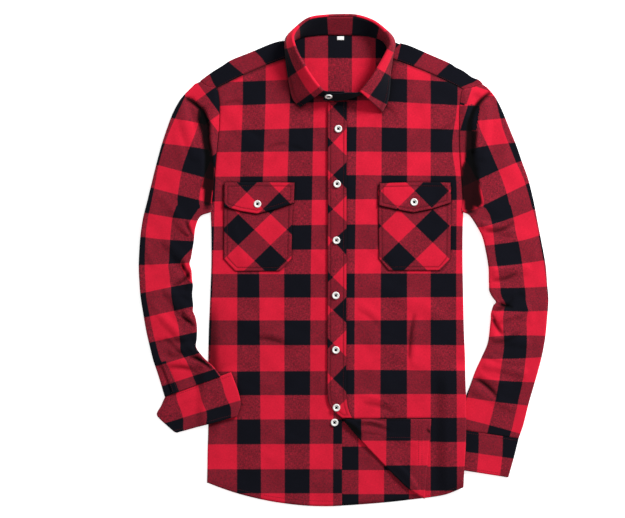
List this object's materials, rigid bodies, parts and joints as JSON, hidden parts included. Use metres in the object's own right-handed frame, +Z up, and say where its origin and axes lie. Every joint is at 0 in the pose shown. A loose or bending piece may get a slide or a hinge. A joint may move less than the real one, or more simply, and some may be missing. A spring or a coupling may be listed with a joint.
{
  "type": "long-sleeved flannel shirt",
  "caption": "Men's long-sleeved button-front shirt in red and black check flannel, laid flat on its back, with turned-down collar, flapped chest pockets and a lower front corner folded back.",
  "frame": {"origin": "under the middle of the shirt as it lies, on the surface that it lies on", "axes": "+Z up from the surface, +Y from the hem to the collar, +X towards the wearer's left sleeve"},
  "size_m": [0.6544, 0.7852, 0.0345],
  "materials": {
    "check_flannel": "brushed cotton twill in red and black buffalo check, matt with a soft nap",
    "label": "blank white woven label",
    "button": "pearl white shirt button, sewn with dark thread"
  },
  "bodies": {
    "root": {"back": "check_flannel", "yoke": "check_flannel", "front_right": "check_flannel", "front_left": "check_flannel", "placket": "check_flannel", "pocket_right": "check_flannel", "pocket_flap_right": "check_flannel", "pocket_left": "check_flannel", "pocket_flap_left": "check_flannel", "sleeve_right": "check_flannel", "sleeve_placket_right": "check_flannel", "sleeve_left": "check_flannel", "cuff_right": "check_flannel", "cuff_left": "check_flannel", "collar_stand": "check_flannel", "collar_leaf": "check_flannel", "label": "label", "button_placket_1": "button", "button_placket_2": "button", "button_placket_3": "button", "button_placket_4": "button", "button_placket_5": "button", "button_placket_6": "button", "button_front": "button", "button_collar": "button", "button_pocket_right": "button", "button_pocket_left": "button"}
  },
  "joints": []
}
